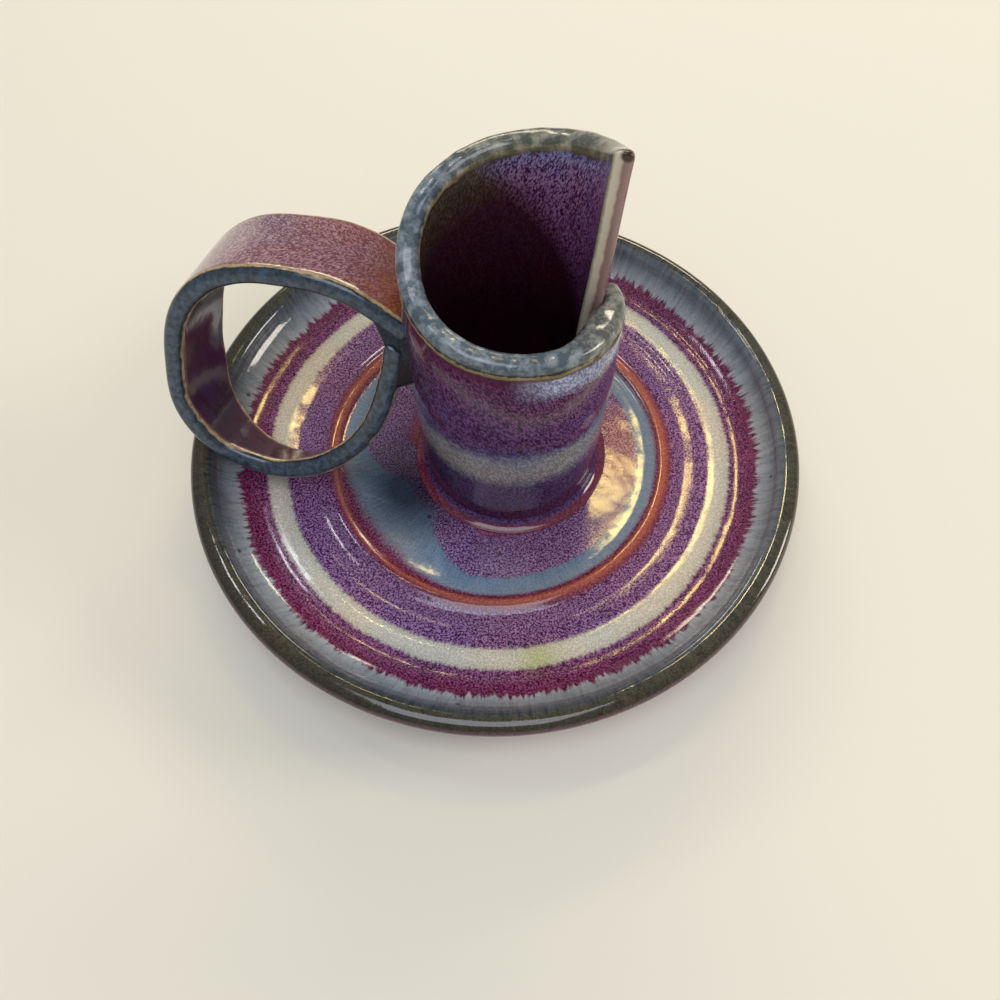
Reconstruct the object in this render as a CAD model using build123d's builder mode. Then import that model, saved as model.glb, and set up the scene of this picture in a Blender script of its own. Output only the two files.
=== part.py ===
from build123d import *
import os
from math import cos, radians, sin

# Chamberstick: a thrown drip saucer, a candle tower rolled from one strip of clay, and a strap
# bent into a finger loop. Millimetres, +Z up. The origin is the middle of the flat base.
# Angles are seen from above, counter-clockwise from +X. The finger loop points to about -X.

# Driving sizes of the saucer
saucer_radius = 65.0        # to the widest line of the rim
saucer_height = 15.0        # height of that widest line above the table
base_radius = 45.0          # flat, unglazed patch that stands on the table
floor_thickness = 9.0       # clay under the drip dish
lip_width = 5.0             # rounded lip, measured across
lip_rise = 1.5              # crest of the lip above the widest line
ridge_radius = 36.3         # throwing ridge round the tower
ridge_rise = 0.9
ring_radius = 47.0          # second, softer ridge where the dish starts to climb
ring_rise = 0.8

# Driving sizes of the candle tower
tower_offset_x = 3.4        # hand-built, so it stands a little off the saucer's middle
tower_offset_y = 0.4
tower_radius = 20.0         # outside, above the waist
tower_foot_radius = 18.2    # outside, where it meets the dish
tower_wall = 4.1
lip_low = 58.4              # low end of the spiral lip, above the table
lip_high = 95.5             # tip of the spiral lip, above the table
waist_drop = 2.4            # the foot's taper ends this far below the low end of the lip
wrap_start = 16.0           # direction of the strip's low outer end, in degrees
wrap_turn = 384.0           # clockwise turn from the low end to the tip, in degrees
flap_tuck = 2.4             # how far the inner end of the strip is pushed inwards, at its tip
flap_lean = 2.6             # and how much further lower down, from the waist to the dish

# Driving sizes of the finger loop
loop_reach = 44.7           # middle of the strap, out from the tower's wall
loop_height = 45.2          # middle of the strap, bottom to top
loop_bottom = 19.0          # middle of the strap at its lowest, above the table, near edge
strap_width = 20.0
strap_thickness = 4.0
strap_edge_radius = 1.7
loop_direction = 168.0      # in degrees
loop_lean = 18.0            # the far edge hangs lower than the near edge, in degrees
loop_twist = 25.0           # outward turn of the strap's far edge at the bottom of the loop, in degrees
strap_near_edge = 20.4      # near edge, sideways from the tower's middle, along the strap's width

# Driving sizes of the clay pressed into the joints
coil_leg = 2.6              # fillet round the tower's foot
luting_radius = 24.0        # hollow corner on the finger's side
end_clearance = 2.0         # between the strap's lower end and the underside of its upper end
luting_inset = 0.8          # from the edges of the strap's lower end

os.makedirs("parts", exist_ok=True)


# Saucer: one revolved profile, from the middle of the base round the lip and back over the dish

dish_floor = floor_thickness
lip_inner_radius = saucer_radius - lip_width
lip_crest = saucer_height + lip_rise
wall_foot = (ring_radius + 0.5 * lip_width, dish_floor + ring_rise)

with BuildPart() as saucer:
    with BuildSketch(Plane.XZ):
        with BuildLine():
            base = Line((0, 0), (base_radius, 0))
            under = ThreePointArc(
                base @ 1,
                (base_radius + 0.55 * (saucer_radius - base_radius), 0.36 * saucer_height),
                (saucer_radius - 0.35 * lip_width, saucer_height - 0.55 * lip_width),
            )
            rim = ThreePointArc(
                under @ 1,
                (saucer_radius, saucer_height),
                (saucer_radius - 0.5 * lip_width, lip_crest),
            )
            lip = ThreePointArc(
                rim @ 1,
                (saucer_radius - 0.85 * lip_width, lip_crest - 0.2 * lip_rise),
                (lip_inner_radius, saucer_height - 0.5 * lip_rise),
            )
            climb = ThreePointArc(
                lip @ 1,
                (lip_inner_radius - 0.36 * (lip_inner_radius - wall_foot[0]), dish_floor + 2.2 * ring_rise),
                wall_foot,
            )
            ring = ThreePointArc(
                climb @ 1,
                (ring_radius, dish_floor + ring_rise),
                (ring_radius - 0.5 * lip_width, dish_floor + 0.4 * ring_rise),
            )
            trough = ThreePointArc(
                ring @ 1,
                (0.5 * (ridge_radius + ring_radius) - 0.1 * lip_width, dish_floor),
                (ridge_radius + 0.4 * lip_width, dish_floor + 0.3 * ridge_rise),
            )
            ridge = ThreePointArc(
                trough @ 1,
                (ridge_radius, dish_floor + ridge_rise),
                (ridge_radius - 0.4 * lip_width, dish_floor),
            )
            dish = Line(ridge @ 1, (0, dish_floor))
            Line(dish @ 1, base @ 0)
        make_face()
    revolve(axis=Axis.Z)

saucer.part.label = "saucer"
export_step(saucer.part, "parts/saucer.step")


# Candle tower: one strip of clay rolled clockwise into a tube, its top edge cut as a climbing spiral.
# Each station along the strip is a section of the wall, standing in a plane through the tower's axis.
# The shares are of the turn, the lip's climb, the tuck and the wall.

tower_axis = Vector(tower_offset_x, tower_offset_y, 0)
waist_level = lip_low - waist_drop
lip_climb_shares = (
    (0.00, 0.00), (0.065, 0.085), (0.15, 0.155), (0.25, 0.195), (0.35, 0.235), (0.44, 0.285), (0.51, 0.38),
    (0.57, 0.455), (0.65, 0.525), (0.75, 0.60), (0.81, 0.66), (0.86, 0.73), (0.91, 0.805), (0.95, 0.88), (1.00, 1.00),
)
tuck_shares = ((0.00, 0.10), (0.15, 0.00), (0.72, 0.00), (0.81, 0.20), (0.90, 0.55), (1.00, 1.00))
wall_shares = ((0.00, 0.62), (0.065, 0.70), (0.15, 1.00), (0.90, 1.00), (1.00, 0.80))


def along(shares, turn_share):
    """Straight-line value at a share of the turn, from a table of shares."""
    for (start, low), (end, high) in zip(shares, shares[1:]):
        if turn_share <= end:
            return low + (high - low) * (turn_share - start) / (end - start)
    return shares[-1][1]


def wall_section(turn_share):
    """Sketch of the strip's wall at a share of the turn: tapered foot, straight wall, rounded lip."""
    direction = radians(wrap_start - turn_share * wrap_turn)
    outwards = Vector(cos(direction), sin(direction), 0)
    plane = Plane(origin=tower_axis, x_dir=outwards, z_dir=outwards.cross(Vector(0, 0, 1)))
    wall = tower_wall * along(wall_shares, turn_share)
    tuck = flap_tuck * along(tuck_shares, turn_share)
    slump = flap_lean * max(0, along(tuck_shares, turn_share) - tuck_shares[0][1])
    outer = tower_radius - tuck
    foot_outer = tower_foot_radius - tuck - slump
    crest = lip_low + (lip_high - lip_low) * along(lip_climb_shares, turn_share)
    spring = crest - 0.5 * wall
    with BuildSketch(plane) as section:
        with BuildLine():
            outside = Line((outer, spring), (outer - slump, waist_level))
            taper = TangentArc(outside @ 1, (foot_outer, dish_floor), tangent=outside % 1)
            foot = Line(taper @ 1, (foot_outer - wall, dish_floor))
            bore_taper = TangentArc((outer - slump - wall, waist_level), foot @ 1, tangent=outside % 1)
            inside = Line(bore_taper @ 0, (outer - wall, spring))
            ThreePointArc(inside @ 1, (outer - 0.5 * wall, crest), outside @ 0)
        make_face()
    return section.sketch


first_half_shares = (0.00, 0.04, 0.09, 0.15, 0.20, 0.25, 0.30, 0.35, 0.40, 0.45)
second_half_shares = (0.45, 0.50, 0.55, 0.60, 0.65, 0.70, 0.75, 0.80, 0.85, 0.90, 0.95, 1.00)

with BuildPart() as candle_tower:
    loft(sections=[wall_section(turn_share) for turn_share in first_half_shares])
    loft(sections=[wall_section(turn_share) for turn_share in second_half_shares])

candle_tower.part.label = "candle_tower"
export_step(candle_tower.part, "parts/candle_tower.step")


# Foot coil: clay worked into the corner between tower and dish, a hollow fillet all the way round

with BuildPart() as foot_coil:
    with BuildSketch(Plane(origin=tower_axis, x_dir=(1, 0, 0), z_dir=(0, -1, 0))):
        with BuildLine():
            mid_wall = tower_foot_radius - 0.5 * tower_wall
            seat = Line((mid_wall, dish_floor), (tower_foot_radius + coil_leg, dish_floor))
            hollow = RadiusArc(seat @ 1, (tower_foot_radius, dish_floor + coil_leg), -coil_leg)
            Polyline(hollow @ 1, (mid_wall, dish_floor + coil_leg), seat @ 0)
        make_face()
    revolve(axis=Axis((tower_offset_x, tower_offset_y, 0), (0, 0, 1)))
    add(candle_tower.part, mode=Mode.SUBTRACT)

foot_coil.part.label = "foot_coil"
export_step(foot_coil.part, "parts/foot_coil.step")


# Finger loop: a pulled strap that leaves the tower under the lip, curls down over the dish and runs
# back up the tower's wall. Its near edge follows one flat curve, and its far edge hangs lower.
# Shares of the reach (out from the tower's wall) and of the height, along the middle of the strap.

loop_shares = (
    (-0.045, 0.835), (0.163, 0.952), (0.329, 0.996), (0.492, 1.00), (0.624, 0.985), (0.794, 0.912),
    (0.906, 0.794), (1.00, 0.456), (0.993, 0.244), (0.926, 0.111), (0.837, 0.032), (0.651, -0.02),
    (0.474, 0.00), (0.302, 0.100), (0.144, 0.275), (0.068, 0.440), (0.034, 0.58), (0.012, 0.70),
)
width_shares = (
    (0.00, 1.00), (0.10, 1.06), (0.50, 1.08), (0.56, 0.81), (0.62, 0.55), (0.68, 0.47), (0.74, 0.40), (1.00, 0.40),
)
twist_shares = (
    (0.00, 0.00), (0.42, 0.00), (0.55, 0.20), (0.61, 0.18), (0.67, 0.73), (0.74, 1.00), (0.81, 0.54), (0.88, 0.00),
    (1.00, 0.00),
)
loop_stations = 24

heading = radians(loop_direction)
lean = radians(loop_lean)
reach_direction = Vector(cos(heading), sin(heading), 0)
side_direction = Vector(sin(heading), -cos(heading), 0)
upright = Vector(0, 0, cos(lean)) + side_direction * sin(lean)
across = side_direction * cos(lean) - Vector(0, 0, sin(lean))
near_face = tower_axis + Vector(0, 0, saucer_height) - across * strap_near_edge
near_bottom = (loop_bottom - saucer_height - strap_near_edge * sin(lean)) / cos(lean)


def loop_point(reach_share, height_share):
    """Point of the strap's near edge, from its shares of the reach and the height."""
    outwards = tower_radius + reach_share * loop_reach
    upwards = near_bottom + height_share * loop_height
    return near_face + reach_direction * outwards + upright * upwards


# The lower end stops square to the underside of the upper end, a clearance below it.
root = loop_point(*loop_shares[0])
root_run = (loop_point(*loop_shares[1]) - root).normalized()
root_rise = across.cross(root_run)
lower_end = root - root_rise * (0.5 * strap_thickness + end_clearance)
near_edge = Spline(
    *[loop_point(*shares) for shares in loop_shares], lower_end, tangents=(root_run, root_rise)
)


def strap_section(path_share):
    """Rounded section of the strap at a share of its length."""
    width = strap_width * along(width_shares, path_share)
    twist = loop_twist * along(twist_shares, path_share)
    run = near_edge % path_share
    outward = across.cross(run)
    width_direction = across * cos(radians(twist)) + outward * sin(radians(twist))
    section_plane = Plane(origin=near_edge @ path_share, x_dir=width_direction, z_dir=run)
    with BuildSketch(section_plane) as section:
        with Locations((0.5 * width, 0)):
            RectangleRounded(width, strap_thickness, strap_edge_radius)
    return section.sketch


with BuildPart() as finger_loop:
    loft(sections=[strap_section(station / loop_stations) for station in range(loop_stations + 1)])
    add(candle_tower.part, mode=Mode.SUBTRACT)
    with BuildSketch(Plane.XY.offset(dish_floor)):
        with Locations(tower_axis):
            Circle(tower_foot_radius - 0.5 * tower_wall)
    extrude(amount=lip_high - dish_floor, mode=Mode.SUBTRACT)

finger_loop.part.label = "finger_loop"
export_step(finger_loop.part, "parts/finger_loop.step")


# Luting: clay pressed between the strap's two ends and the tower's wall, with a hollow corner on the
# finger's side. Its corners are shares of the strap's length.

luting_shares = (0.06, 0.95, 0.925)
loop_plane = Plane(origin=near_face, x_dir=reach_direction, z_dir=across)


def in_loop_plane(point):
    """Outwards and upwards places of a point in the plane of the strap's near edge."""
    place = loop_plane.to_local_coords(point)
    return place.X, place.Y


under_root, over_foot, foot = [in_loop_plane(near_edge @ share) for share in luting_shares]
root_place = in_loop_plane(root)
inner_wall = tower_radius - tower_wall

with BuildPart() as loop_luting:
    with BuildSketch(loop_plane.offset(luting_inset)):
        with BuildLine():
            RadiusArc(over_foot, under_root, luting_radius)
            Polyline(under_root, root_place, (inner_wall, root_place[1]), (inner_wall, foot[1]), foot, over_foot)
        make_face()
    extrude(amount=strap_width * width_shares[-1][1] - 2 * luting_inset)
    add(candle_tower.part, mode=Mode.SUBTRACT)
    add(finger_loop.part, mode=Mode.SUBTRACT)

loop_luting.part.label = "loop_luting"
export_step(loop_luting.part, "parts/loop_luting.step")
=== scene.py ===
from functools import lru_cache
from math import atan2, cos, hypot, pi, radians, sin, sqrt

import bmesh
import bpy
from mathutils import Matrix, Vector, noise


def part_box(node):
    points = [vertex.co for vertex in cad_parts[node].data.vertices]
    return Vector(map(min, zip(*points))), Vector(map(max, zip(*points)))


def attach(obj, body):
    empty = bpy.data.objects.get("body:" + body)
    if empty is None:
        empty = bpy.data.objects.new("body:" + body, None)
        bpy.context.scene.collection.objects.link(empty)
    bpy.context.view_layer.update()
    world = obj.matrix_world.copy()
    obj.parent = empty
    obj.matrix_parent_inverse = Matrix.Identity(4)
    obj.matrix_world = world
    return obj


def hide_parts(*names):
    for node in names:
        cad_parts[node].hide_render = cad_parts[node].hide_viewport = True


# Chamberstick with a finger loop, in glazed stoneware. Shapes are worked out in millimetres, in the
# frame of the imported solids, and go into each mesh in metres.

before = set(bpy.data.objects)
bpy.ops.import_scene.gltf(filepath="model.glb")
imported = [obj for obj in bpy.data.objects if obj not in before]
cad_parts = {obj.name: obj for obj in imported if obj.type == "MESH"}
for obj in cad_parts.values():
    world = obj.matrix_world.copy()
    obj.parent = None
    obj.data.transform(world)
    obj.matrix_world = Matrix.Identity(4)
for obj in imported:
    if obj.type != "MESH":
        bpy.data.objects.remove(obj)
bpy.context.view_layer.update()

MM = 0.001

# Sizes read from the frame
saucer_low, saucer_high = (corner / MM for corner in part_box("saucer"))
tower_low, tower_high = (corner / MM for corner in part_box("candle_tower"))
saucer_radius = 0.998 * saucer_high.x
lip_crest = saucer_high.z
dish_floor = tower_low.z
lip_high = tower_high.z

# Saucer
saucer_height = 15.0        # of the rim's widest line
base_radius = 45.0
lip_width = 5.0
lip_rise = 1.5
ridge_radius = 36.3         # throwing ridge round the tower
ridge_rise = 0.9
ring_radius = 47.0          # softer ridge where the dish starts to climb
ring_rise = 0.8
saucer_steps = 320

# Candle tower
tower_axis = Vector((3.4, 0.4, 0.0))
tower_radius = 20.0
tower_foot_radius = 18.2
tower_wall = 4.1
lip_low = 58.4
waist_level = 56.0
wrap_start = 16.0           # direction of the strip's low end, in degrees
wrap_turn = 384.0           # clockwise turn to the tip, in degrees
flap_tuck = 2.4
flap_lean = 2.6
end_rounding = 0.9          # at the two cut ends of the strip
tip_rounding = 2.8          # of the lip over the tip
lip_climb_shares = (
    (0.00, 0.00), (0.065, 0.085), (0.15, 0.155), (0.25, 0.195), (0.35, 0.235), (0.44, 0.285), (0.51, 0.38),
    (0.57, 0.455), (0.65, 0.525), (0.75, 0.60), (0.81, 0.66), (0.86, 0.73), (0.91, 0.805), (0.95, 0.88),
    (1.00, 1.00),
)
tuck_shares = ((0.00, 0.10), (0.15, 0.00), (0.72, 0.00), (0.81, 0.20), (0.90, 0.55), (1.00, 1.00))
wall_shares = (
    (0.00, 0.92), (0.05, 1.02), (0.08, 1.45), (0.13, 1.42), (0.21, 1.00), (0.90, 1.00), (1.00, 0.80),
)
strip_length = radians(wrap_turn) * tower_radius

# Finger loop
loop_reach = 44.7
loop_height = 45.2
loop_bottom = 19.0
strap_width = 20.0
strap_thickness = 4.0
strap_edge_radius = 1.5
loop_direction = 168.0
loop_lean = 18.0
loop_twist = 25.0           # outward turn of the far edge at the bottom, in degrees
strap_near_edge = 20.4
end_clearance = 2.0         # under the upper end, filled with luting
loop_shares = (
    (-0.045, 0.835), (0.163, 0.952), (0.329, 0.996), (0.492, 1.00), (0.624, 0.985), (0.794, 0.912),
    (0.906, 0.794), (1.00, 0.456), (0.993, 0.244), (0.926, 0.111), (0.837, 0.032), (0.651, -0.02),
    (0.474, 0.00), (0.302, 0.100), (0.144, 0.275), (0.068, 0.440), (0.034, 0.58), (0.012, 0.70),
)
width_shares = (
    (0.00, 1.00), (0.10, 1.06), (0.50, 1.08), (0.56, 0.81), (0.62, 0.55), (0.68, 0.47), (0.74, 0.40),
    (1.00, 0.40),
)
twist_shares = (
    (0.00, 0.00), (0.42, 0.00), (0.55, 0.20), (0.61, 0.18), (0.67, 0.73), (0.74, 1.00), (0.81, 0.54),
    (0.88, 0.00), (1.00, 0.00),
)

# Clay in the joints
coil_leg = 2.6
luting_inset = 0.6
luting_rounding = 0.9
luting_sag = Vector((-1.0, 0.4))
luting_shares = (0.06, 0.95, 0.925)     # its corners, as shares of the strap's length

# Unevenness of hand-made clay: its wavelength and its swing
dish_waver = (22.0, 0.10)
dish_dents = (7.0, 0.05)
lip_waver = (9.0, 0.45)
wall_waver = (16.0, 0.22)
strap_waver = (11.0, 0.18)
throwing_ring_width = 3.1
throwing_ring_depth = 0.014

# Counts of faces round and along the pieces
tower_columns, tower_rows = 330, 130
strap_columns = 300
coil_steps = 200


# Numbers and curves

def along(shares, share):
    """Smooth value at a share, from a table of shares, never past the values of its rows."""
    last = len(shares) - 1
    share = min(max(share, shares[0][0]), shares[last][0])
    row = next(i for i in range(last) if share <= shares[i + 1][0])
    (start, low), (end, high) = shares[row], shares[row + 1]
    step = end - start
    rise = high - low
    slope_in = slope_out = rise / step
    if row > 0:
        slope_in = (high - shares[row - 1][1]) / (end - shares[row - 1][0])
    if row + 1 < last:
        slope_out = (shares[row + 2][1] - low) / (shares[row + 2][0] - start)
    slope_in = 0.0 if rise * slope_in <= 0 else slope_in
    slope_out = 0.0 if rise * slope_out <= 0 else slope_out
    t = (share - start) / step
    value = low + rise * (3 - 2 * t) * t * t + step * t * (1 - t) * (slope_in * (1 - t) - slope_out * t)
    return min(max(value, min(low, high)), max(low, high))


def arc_points(start, middle, end, count):
    """Points of the arc through three points of a plane, without its first point."""
    (ax, ay), (bx, by), (cx, cy) = start, middle, end
    d = 2 * (ax * (by - cy) + bx * (cy - ay) + cx * (ay - by))
    ux = ((ax**2 + ay**2) * (by - cy) + (bx**2 + by**2) * (cy - ay) + (cx**2 + cy**2) * (ay - by)) / d
    uy = ((ax**2 + ay**2) * (cx - bx) + (bx**2 + by**2) * (ax - cx) + (cx**2 + cy**2) * (bx - ax)) / d
    radius = hypot(ax - ux, ay - uy)
    first = atan2(ay - uy, ax - ux)
    through = (atan2(by - uy, bx - ux) - first) % (2 * pi)
    sweep = (atan2(cy - uy, cx - ux) - first) % (2 * pi)
    if through > sweep:
        sweep -= 2 * pi
    angles = [first + sweep * (i + 1) / count for i in range(count)]
    return [(ux + radius * cos(a), uy + radius * sin(a)) for a in angles]


def smooth_curve(points, start_run, end_run, steps):
    """Dense points along the curve through the given points, whose bend changes smoothly."""
    spans = [(b - a).length for a, b in zip(points, points[1:])]
    runs = [start_run] + [(c - a).normalized() for a, c in zip(points, points[2:])] + [end_run]
    for _ in range(60):
        for i in range(1, len(points) - 1):
            before, after = spans[i - 1], spans[i]
            pull = 3 * ((points[i] - points[i - 1]) / before**2 + (points[i + 1] - points[i]) / after**2)
            runs[i] = (pull - runs[i - 1] / before - runs[i + 1] / after) / (2 / before + 2 / after)
    dense = []
    for start, end, run_in, run_out, span in zip(points, points[1:], runs, runs[1:], spans):
        for i in range(steps):
            t = i / steps
            dense.append(
                start * (1 - t) ** 2 * (1 + 2 * t) + end * t**2 * (3 - 2 * t)
                + (run_in * (1 - t) - run_out * t) * t * (1 - t) * span
            )
    return dense + [points[-1]]


def squarish(angle, power):
    """Cosine and sine of an angle, pushed out towards a square by a power above 2."""
    c, s = cos(angle), sin(angle)
    return (
        (1 if c > 0 else -1) * abs(c) ** (2 / power),
        (1 if s > 0 else -1) * abs(s) ** (2 / power),
    )


def waver(place, wavelength, swing):
    """Slow unevenness of hand-made clay, between minus and plus the swing."""
    return swing * noise.noise(place / wavelength)


# Meshes

def finished(bm, name, material, node):
    """The piece made from a mesh: smooth, in metres, on the body that carries the node it stands for."""
    bmesh.ops.scale(bm, vec=(MM, MM, MM), verts=bm.verts)
    bmesh.ops.remove_doubles(bm, verts=bm.verts, dist=0.002 * MM)
    bmesh.ops.recalc_face_normals(bm, faces=bm.faces)
    for face in bm.faces:
        face.smooth = True
    mesh = bpy.data.meshes.new(name)
    bm.to_mesh(mesh)
    bm.free()
    piece = bpy.data.objects.new(name, mesh)
    bpy.context.scene.collection.objects.link(piece)
    mesh.materials.append(material)
    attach(piece, "root")
    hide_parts(node)
    return piece


def moulded(columns, rows, place):
    """A grid of clay whose corners go to place(u, v), which gives a point and its layout."""
    bm = bmesh.new()
    layer = bm.verts.layers.float_vector.new("layout")
    bmesh.ops.create_grid(bm, x_segments=columns, y_segments=rows, size=0.5)
    for vert in bm.verts:
        vert.co, vert[layer] = place(vert.co.x + 0.5, vert.co.y + 0.5)
    return bm


def saucer_profile():
    """Points of the saucer's profile, from the middle of the dish over the lip to the middle of the base."""
    lip_inner = saucer_radius - lip_width
    wall_foot = (ring_radius + 0.5 * lip_width, dish_floor + ring_rise)
    corners = [
        ((ridge_radius - 0.4 * lip_width, dish_floor), None, 1),
        ((ridge_radius + 0.4 * lip_width, dish_floor + 0.3 * ridge_rise),
         (ridge_radius, dish_floor + ridge_rise), 14),
        ((ring_radius - 0.5 * lip_width, dish_floor + 0.4 * ring_rise),
         (0.5 * (ridge_radius + ring_radius) - 0.1 * lip_width, dish_floor), 14),
        (wall_foot, (ring_radius, dish_floor + ring_rise), 14),
        ((lip_inner, saucer_height - 0.5 * lip_rise),
         (lip_inner - 0.36 * (lip_inner - wall_foot[0]), dish_floor + 2.2 * ring_rise), 20),
        ((saucer_radius - 0.5 * lip_width, lip_crest),
         (saucer_radius - 0.85 * lip_width, lip_crest - 0.2 * lip_rise), 10),
        ((saucer_radius - 0.35 * lip_width, saucer_height - 0.55 * lip_width),
         (saucer_radius, saucer_height), 14),
        ((base_radius, 0.0),
         (base_radius + 0.55 * (saucer_radius - base_radius), 0.36 * saucer_height), 24),
    ]
    inner = tower_foot_radius - tower_wall
    points = [(0.0, dish_floor), (0.5 * inner, dish_floor), (inner, dish_floor)]
    steps = 14
    points += [(inner + (corners[0][0][0] - inner) * i / steps, dish_floor) for i in range(1, steps + 1)]
    for end, middle, count in corners[1:]:
        points += arc_points(points[-1], middle, end, count)
    return points + [(0.5 * base_radius, 0.0), (0.0, 0.0)]


def softened(points, rounds):
    """The profile with its corners eased, as glaze eases them. Its two ends stay."""
    for _ in range(rounds):
        points = [points[0]] + [
            (0.25 * a[0] + 0.5 * b[0] + 0.25 * c[0], 0.25 * a[1] + 0.5 * b[1] + 0.25 * c[1])
            for a, b, c in zip(points, points[1:], points[2:])
        ] + [points[-1]]
    return points


def make_saucer(material):
    """Drip saucer, spun from its profile. The layout holds how far out and under the lip a point is."""
    bm = bmesh.new()
    layer = bm.verts.layers.float_vector.new("layout")
    top = saucer_profile()
    base = top[-2:]
    profile = softened(top[:-2], 3) + base
    crest = max(range(len(profile)), key=lambda i: profile[i][1])
    verts = []
    past_crest = 0.0
    for i, (radius, height) in enumerate(profile):
        vert = bm.verts.new((radius, 0.0, height))
        if i > crest:
            past_crest += hypot(radius - profile[i - 1][0], height - profile[i - 1][1])
        vert[layer] = (past_crest, height, 0.0)
        verts.append(vert)
    edges = [bm.edges.new(pair) for pair in zip(verts, verts[1:])]
    bmesh.ops.spin(
        bm, geom=verts + edges, cent=(0, 0, 0), axis=(0, 0, 1), dvec=(0, 0, 0),
        angle=2 * pi, steps=saucer_steps, use_merge=True, use_duplicate=False,
    )
    for vert in bm.verts:
        if vert.co.z < dish_floor - 1:
            continue
        out = hypot(vert.co.x, vert.co.y)
        low = waver(vert.co, *dish_waver) + waver(vert.co + Vector((90, 0, 0)), *dish_dents)
        turn = atan2(vert.co.y, vert.co.x)
        throwing = throwing_ring_depth * sin(2 * pi * out / throwing_ring_width + turn)
        vert.co.z -= abs(low) + throwing_ring_depth + throwing * (1 if out < saucer_radius - lip_width else 0)
    return finished(bm, "drip_saucer", material, "saucer")


@lru_cache(maxsize=None)
def wall_station(u):
    """Where a column of the tower's mesh stands: its share of the turn, its extra length and its fullness."""
    ends = 0.04
    power = 3.0
    if u < ends:
        c, s = squarish(0.5 * pi * (1 - u / ends), power)
        return -s * end_rounding / strip_length + end_rounding / strip_length, c
    if u > 1 - ends:
        c, s = squarish(0.5 * pi * (1 - (1 - u) / ends), power)
        return 1 + (s - 1) * end_rounding / strip_length, c
    start, end = end_rounding / strip_length, 1 - end_rounding / strip_length
    return start + (end - start) * (u - ends) / (1 - 2 * ends), 1.0


@lru_cache(maxsize=None)
def wall_sizes(share):
    """Thickness, tuck, slump and crest height of the rolled strip at a share of the turn."""
    wall = tower_wall * along(wall_shares, share)
    tucked = along(tuck_shares, share)
    slump = flap_lean * max(0.0, tucked - tuck_shares[0][1])
    crest = lip_low + (lip_high - lip_low) * along(lip_climb_shares, share)
    past_bend = max(0.0, 1 - (1 - share) * strip_length / tip_rounding)
    crest -= 0.5 * tip_rounding * (1 - sqrt(1 - min(1.0, past_bend) ** 2))
    return wall, flap_tuck * tucked, slump, crest


def place_wall(u, v):
    """Point of the rolled wall: u runs along the strip, v round its section from foot to lip to foot."""
    share, fullness = wall_station(round(u, 6))
    wall, tuck, slump, crest = wall_sizes(share)
    direction = radians(wrap_start - share * wrap_turn)
    outwards = Vector((cos(direction), sin(direction), 0.0))
    lip_dip = abs(waver(outwards * 30 + Vector((0, 0, share * 40)), *lip_waver))
    spring = crest - 0.5 * wall - lip_dip
    foot, side = 0.02, 0.40
    middle = tower_radius - tuck - 0.5 * wall
    half = 0.5 * wall * fullness
    if v < foot or v > 1 - foot:
        c = 1 - v / foot if v < foot else (v - 1 + foot) / foot
        sideways, height = (1 - c) * half * (1 if v < 0.5 else -1), dish_floor
    elif v < side or v > 1 - side:
        c = (v - foot) / (side - foot) if v < 0.5 else (1 - v - foot) / (side - foot)
        sideways, height = half * (1 if v < 0.5 else -1), dish_floor + (spring - dish_floor) * c
    else:
        c, s = squarish(pi * (v - side) / (1 - 2 * side), 2.5)
        sideways, height = half * c, spring + 0.5 * wall * s
    if height > waist_level:
        inset = slump * min(1.0, (spring - height) / (spring - waist_level)) if height < spring else 0.0
    else:
        drop = (waist_level - height) / (waist_level - dish_floor)
        lean_in = slump * (waist_level - dish_floor) / (spring - waist_level)
        inset = slump + lean_in * drop + (tower_radius - tower_foot_radius - lean_in) * drop**2
    radius = middle + sideways - inset
    point = tower_axis + outwards * radius + Vector((0, 0, height))
    point += outwards * (waver(point, *wall_waver) - 0.12) * min(1.0, (height - dish_floor) / 12.0)
    below = max(0.0, crest - lip_dip - height)
    return point, (share * strip_length, below, max(-1.0, min(1.0, 2 * sideways / wall)))


def make_tower(material):
    """Candle tower: the strip of clay rolled clockwise, its lip climbing to the tip of the tucked flap."""
    bm = moulded(tower_columns, tower_rows, place_wall)
    return finished(bm, "rolled_tower", material, "candle_tower")


def make_foot_coil(material):
    """Hollow fillet of clay round the tower's foot, spun about the tower's axis."""
    bm = bmesh.new()
    layer = bm.verts.layers.float_vector.new("layout")
    mid_wall = tower_foot_radius - 0.5 * tower_wall
    toe = (tower_foot_radius + coil_leg, dish_floor)
    top = (tower_foot_radius, dish_floor + coil_leg)
    hollow = (tower_foot_radius + 0.29 * coil_leg, dish_floor + 0.29 * coil_leg)
    profile = [toe] + arc_points(toe, hollow, top, 14)
    profile += [(mid_wall, dish_floor + coil_leg), (mid_wall, dish_floor), toe]
    verts = []
    for radius, height in profile[:-1]:
        vert = bm.verts.new(tower_axis + Vector((radius, 0, height)))
        vert[layer] = (radius, height - dish_floor, 1.0)
        verts.append(vert)
    edges = [bm.edges.new(pair) for pair in zip(verts, verts[1:] + verts[:1])]
    bmesh.ops.spin(
        bm, geom=verts + edges, cent=tower_axis, axis=(0, 0, 1), dvec=(0, 0, 0),
        angle=2 * pi, steps=coil_steps, use_merge=True, use_duplicate=False,
    )
    return finished(bm, "foot_fillet", material, "foot_coil")


# The finger loop's frame: reach away from the tower, upright along the leaning loop, across the strap

heading = radians(loop_direction)
lean = radians(loop_lean)
reach_direction = Vector((cos(heading), sin(heading), 0.0))
side_direction = Vector((sin(heading), -cos(heading), 0.0))
upright = Vector((0, 0, cos(lean))) + side_direction * sin(lean)
across = side_direction * cos(lean) - Vector((0, 0, sin(lean)))
near_face = tower_axis + Vector((0, 0, saucer_height)) - across * strap_near_edge
near_bottom = (loop_bottom - saucer_height - strap_near_edge * sin(lean)) / cos(lean)


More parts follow.
